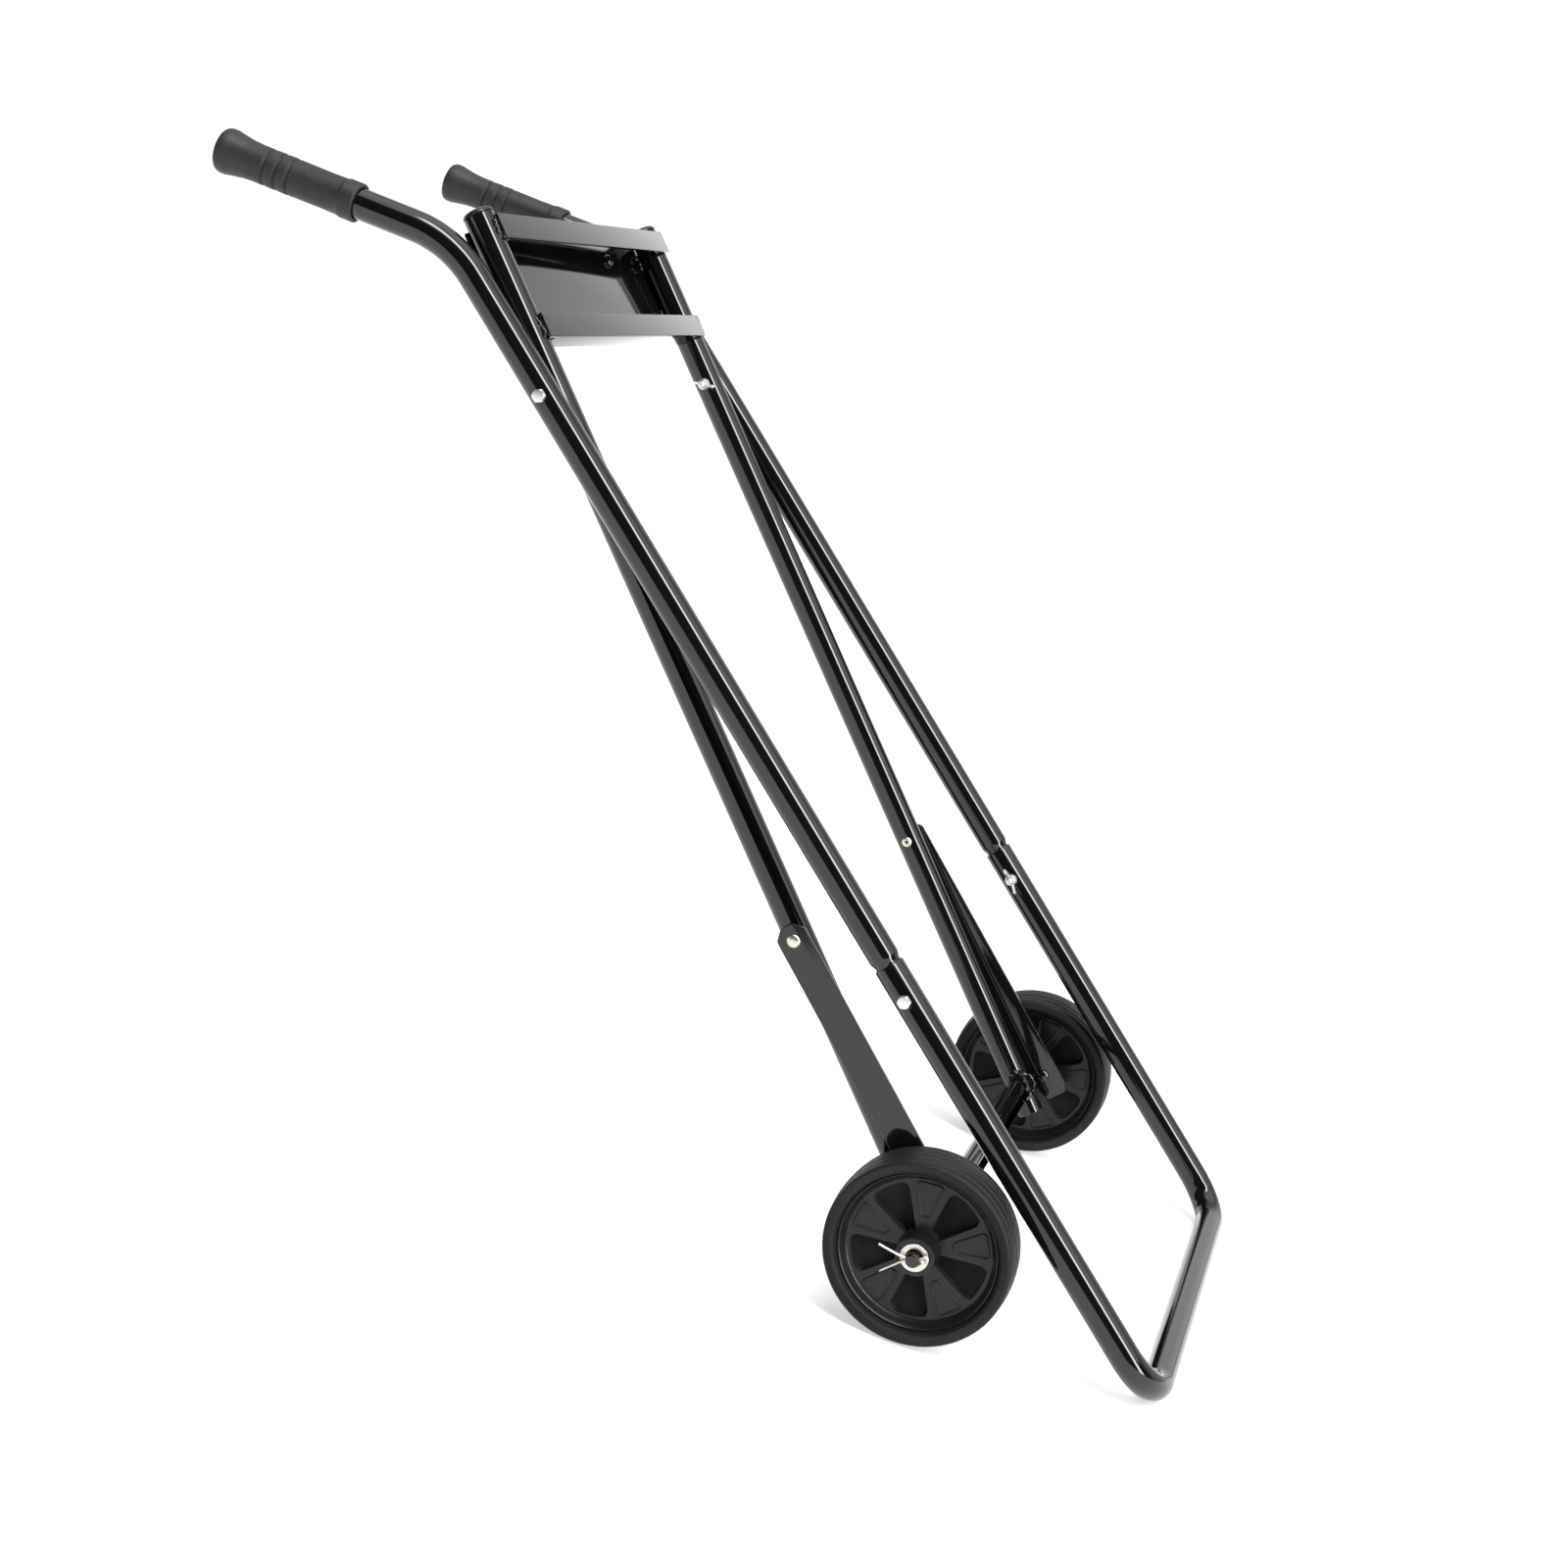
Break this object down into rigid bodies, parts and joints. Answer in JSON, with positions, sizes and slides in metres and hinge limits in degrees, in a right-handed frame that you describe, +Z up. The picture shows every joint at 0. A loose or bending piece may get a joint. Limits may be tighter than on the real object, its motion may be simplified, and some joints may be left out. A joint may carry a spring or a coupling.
{
  "type": "hand truck",
  "caption": "Folding two-wheeled cart with hooked handle tubes, a U-shaped foot and a crossbar frame that carries an outboard motor.",
  "frame": {"origin": "on the floor, under the middle of the bounding box", "axes": "+X across the cart to its right as seen from the front, +Y back towards the grips, +Z up; the front is the foot, at -Y"},
  "size_m": [0.5492, 1.0028, 0.7617],
  "materials": {
    "paint": "gloss black paint",
    "zinc": "bright zinc plating",
    "nickel": "nickel plating",
    "grip_rubber": "matt grained rubber",
    "tyre_rubber": "solid black rubber",
    "rim_plastic": "satin moulded plastic",
    "cap_plastic": "satin moulded plastic"
  },
  "bodies": {
    "handle_frame": {"foot_frame": "paint", "left_grip": "grip_rubber", "left_handle_tube": "paint", "left_joint_bolt": "zinc", "left_pivot_bolt": "zinc", "right_grip": "grip_rubber", "right_handle_tube": "paint", "right_joint_bolt": "zinc", "right_pivot_bolt": "zinc"},
    "motor_frame": {"axle": "paint", "back_plate": "paint", "cross_tube": "paint", "left_hub_washer": "nickel", "left_motor_tube": "paint", "left_split_pin": "zinc", "left_strut": "paint", "left_strut_rivet": "nickel", "left_top_cap": "cap_plastic", "lower_motor_bar": "paint", "right_hub_washer": "nickel", "right_motor_tube": "paint", "right_split_pin": "zinc", "right_strut": "paint", "right_strut_rivet": "nickel", "right_top_cap": "cap_plastic", "upper_motor_bar": "paint"},
    "left_wheel": {"left_tyre": "tyre_rubber", "left_rim": "rim_plastic"},
    "right_wheel": {"right_tyre": "tyre_rubber", "right_rim": "rim_plastic"},
    "left_joint_wing_nut_body": {"left_joint_wing_nut": "zinc"},
    "left_pivot_wing_nut_body": {"left_pivot_wing_nut": "zinc"},
    "right_joint_wing_nut_body": {"right_joint_wing_nut": "zinc"},
    "right_pivot_wing_nut_body": {"right_pivot_wing_nut": "zinc"}
  },
  "joints": [
    {"name": "frame_fold", "type": "hinge", "parent": "handle_frame", "child": "motor_frame", "pos_m": [0, 0.18964, 0.63077], "axis": [1, 0, 0], "range_deg": [0, 45]},
    {"name": "left_wheel_spin", "type": "hinge", "parent": "motor_frame", "child": "left_wheel", "pos_m": [-0.241, -0.28294, 0.077], "axis": [1, 0, 0], "continuous": true},
    {"name": "right_wheel_spin", "type": "hinge", "parent": "motor_frame", "child": "right_wheel", "pos_m": [0.241, -0.28294, 0.077], "axis": [1, 0, 0], "continuous": true},
    {"name": "left_joint_wing_nut_turn", "type": "hinge", "parent": "handle_frame", "child": "left_joint_wing_nut_body", "pos_m": [-0.2097, -0.21543, 0.2617], "axis": [1, 0, 0], "range_deg": [0, 360]},
    {"name": "left_pivot_wing_nut_turn", "type": "hinge", "parent": "handle_frame", "child": "left_pivot_wing_nut_body", "pos_m": [-0.1832, 0.18964, 0.63077], "axis": [1, 0, 0], "range_deg": [0, 360]},
    {"name": "right_joint_wing_nut_turn", "type": "hinge", "parent": "handle_frame", "child": "right_joint_wing_nut_body", "pos_m": [0.2097, -0.21543, 0.2617], "axis": [-1, 0, 0], "range_deg": [0, 360]},
    {"name": "right_pivot_wing_nut_turn", "type": "hinge", "parent": "handle_frame", "child": "right_pivot_wing_nut_body", "pos_m": [0.1832, 0.18964, 0.63077], "axis": [-1, 0, 0], "range_deg": [0, 360]}
  ]
}
